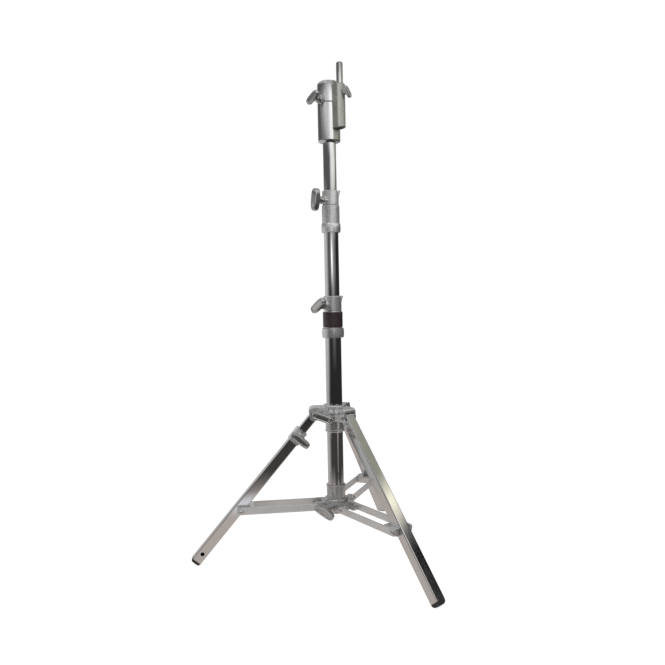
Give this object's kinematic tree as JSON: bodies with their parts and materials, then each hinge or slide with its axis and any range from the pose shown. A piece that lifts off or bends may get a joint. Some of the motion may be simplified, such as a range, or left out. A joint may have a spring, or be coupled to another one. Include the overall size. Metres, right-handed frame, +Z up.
{
  "type": "combo stand",
  "caption": "Chrome steel double-riser light stand: folding square-leg tripod with a levelling leg, locking collars, and a head with a junior socket and a sliding baby pin.",
  "frame": {"origin": "on the floor, under the middle of the footprint; the column axis stands 86 mm towards +X from it", "axes": "+Z up along the column; -X along the levelling leg, with the two fixed legs at 60 degrees either side of +X"},
  "size_m": [0.5578, 0.644, 1.219],
  "materials": {
    "chrome": "polished",
    "cast_satin": "satin",
    "zinc": "satin",
    "brass": "satin",
    "black_band": "semi-gloss",
    "rubber": "matte",
    "nylon": "matte"
  },
  "bodies": {
    "base": {"column_tube": "chrome", "column_plug": "rubber", "collar_2": "cast_satin", "collar_2_shoe": "brass", "collar_2_band": "black_band", "top_casting": "cast_satin", "top_casting_shoe": "brass", "leg_bolt_level": "zinc", "leg_bolt_right": "zinc", "leg_bolt_rear": "zinc"},
    "riser_1": {"riser_1_tube": "chrome", "riser_1_guide": "nylon", "collar_1": "cast_satin", "collar_1_shoe": "brass"},
    "riser_2": {"riser_2_tube": "chrome", "riser_2_guide": "nylon", "combo_head": "chrome"},
    "baby_pin": {"baby_pin": "chrome"},
    "junior_lock": {"junior_lock_handle": "cast_satin"},
    "pin_lock": {"pin_lock_handle": "cast_satin"},
    "collar_1_lock": {"collar_1_handle": "cast_satin"},
    "collar_2_lock": {"collar_2_handle": "cast_satin"},
    "top_casting_lock": {"top_casting_handle": "cast_satin"},
    "lower_casting": {"lower_casting": "cast_satin", "lower_casting_shoe": "brass"},
    "lower_casting_lock": {"lower_casting_handle": "cast_satin"},
    "leg_level": {"leg_level_inner": "chrome", "bracket_level": "cast_satin"},
    "leg_level_outer": {"leg_level_outer": "chrome", "foot_level": "rubber", "level_clamp": "cast_satin"},
    "level_lock": {"level_lock_handle": "cast_satin"},
    "leg_right": {"leg_right": "chrome", "foot_right": "rubber", "bracket_right": "cast_satin"},
    "leg_rear": {"leg_rear": "chrome", "foot_rear": "rubber", "bracket_rear": "cast_satin"},
    "braces_level": {"brace_level_a": "chrome", "brace_level_b": "chrome", "brace_rivet_level_a": "zinc", "brace_rivet_level_b": "zinc", "brace_pin_level_a": "zinc", "brace_pin_level_b": "zinc"},
    "braces_right": {"brace_right_a": "chrome", "brace_right_b": "chrome", "brace_rivet_right_a": "zinc", "brace_rivet_right_b": "zinc", "brace_pin_right_a": "zinc", "brace_pin_right_b": "zinc"},
    "braces_rear": {"brace_rear_a": "chrome", "brace_rear_b": "chrome", "brace_rivet_rear_a": "zinc", "brace_rivet_rear_b": "zinc", "brace_pin_rear_a": "zinc", "brace_pin_rear_b": "zinc"}
  },
  "joints": [
    {"name": "riser_1_slide", "type": "slide", "parent": "base", "child": "riser_1", "axis": [0, 0, 1], "range_m": [-0.1555, 0.24]},
    {"name": "riser_2_slide", "type": "slide", "parent": "riser_1", "child": "riser_2", "axis": [0, 0, 1], "range_m": [-0.103, 0.377]},
    {"name": "baby_pin_slide", "type": "slide", "parent": "riser_2", "child": "baby_pin", "axis": [0, 0, 1], "range_m": [-0.05, 0.015]},
    {"name": "junior_lock_turn", "type": "hinge", "parent": "riser_2", "child": "junior_lock", "pos_m": [0.0862, 0, 1.13599], "axis": [-0.8192, -0.5736, 0], "continuous": true},
    {"name": "pin_lock_turn", "type": "hinge", "parent": "riser_2", "child": "pin_lock", "pos_m": [0.0862, 0, 1.14399], "axis": [0.6293, -0.7771, 0], "continuous": true},
    {"name": "collar_1_lock_turn", "type": "hinge", "parent": "riser_1", "child": "collar_1_lock", "pos_m": [0.0862, 0, 0.89458], "axis": [-0.8192, -0.5736, 0], "continuous": true},
    {"name": "collar_2_lock_turn", "type": "hinge", "parent": "base", "child": "collar_2_lock", "pos_m": [0.0862, 0, 0.63858], "axis": [-0.8192, -0.5736, 0], "continuous": true},
    {"name": "top_casting_lock_turn", "type": "hinge", "parent": "base", "child": "top_casting_lock", "pos_m": [0.0862, 0, 0.36949], "axis": [-0.5, -0.866, 0], "continuous": true},
    {"name": "lower_casting_slide", "type": "slide", "parent": "base", "child": "lower_casting", "axis": [0, 0, 1], "range_m": [0, 0.12157]},
    {"name": "lower_casting_lock_turn", "type": "hinge", "parent": "lower_casting", "child": "lower_casting_lock", "pos_m": [0.0862, 0, 0.13598], "axis": [-0.5, -0.866, 0], "continuous": true},
    {"name": "leg_level_fold", "type": "hinge", "parent": "base", "child": "leg_level", "pos_m": [0.0348, 0, 0.36399], "axis": [0, -1, 0], "range_deg": [0, 40.6]},
    {"name": "leg_right_fold", "type": "hinge", "parent": "base", "child": "leg_right", "pos_m": [0.1119, -0.04451, 0.36399], "axis": [0.866, 0.5, 0], "range_deg": [0, 40.6]},
    {"name": "leg_rear_fold", "type": "hinge", "parent": "base", "child": "leg_rear", "pos_m": [0.1119, 0.04451, 0.36399], "axis": [-0.866, 0.5, 0], "range_deg": [0, 40.6]},
    {"name": "braces_level_fold", "type": "hinge", "parent": "lower_casting", "child": "braces_level", "pos_m": [0.0362, 0, 0.13598], "axis": [0, -1, 0], "range_deg": [0, 91.5]},
    {"name": "braces_right_fold", "type": "hinge", "parent": "lower_casting", "child": "braces_right", "pos_m": [0.1112, -0.0433, 0.13598], "axis": [0.866, 0.5, 0], "range_deg": [0, 91.5]},
    {"name": "braces_rear_fold", "type": "hinge", "parent": "lower_casting", "child": "braces_rear", "pos_m": [0.1112, 0.0433, 0.13598], "axis": [-0.866, 0.5, 0], "range_deg": [0, 91.5]},
    {"name": "level_leg_slide", "type": "slide", "parent": "leg_level", "child": "leg_level_outer", "axis": [0.6502, 0, 0.7598], "range_m": [-0.17, 0]},
    {"name": "level_lock_turn", "type": "hinge", "parent": "leg_level_outer", "child": "level_lock", "pos_m": [-0.00431, 0, 0.31059], "axis": [0, -1, 0], "continuous": true}
  ],
  "couplings": [
    {"joint": "leg_level_fold", "follows": "lower_casting_slide", "rad_per_m": 5.8225},
    {"joint": "leg_right_fold", "follows": "lower_casting_slide", "rad_per_m": 5.8225},
    {"joint": "leg_rear_fold", "follows": "lower_casting_slide", "rad_per_m": 5.8225},
    {"joint": "braces_level_fold", "follows": "lower_casting_slide", "rad_per_m": 13.125},
    {"joint": "braces_right_fold", "follows": "lower_casting_slide", "rad_per_m": 13.125},
    {"joint": "braces_rear_fold", "follows": "lower_casting_slide", "rad_per_m": 13.125}
  ]
}
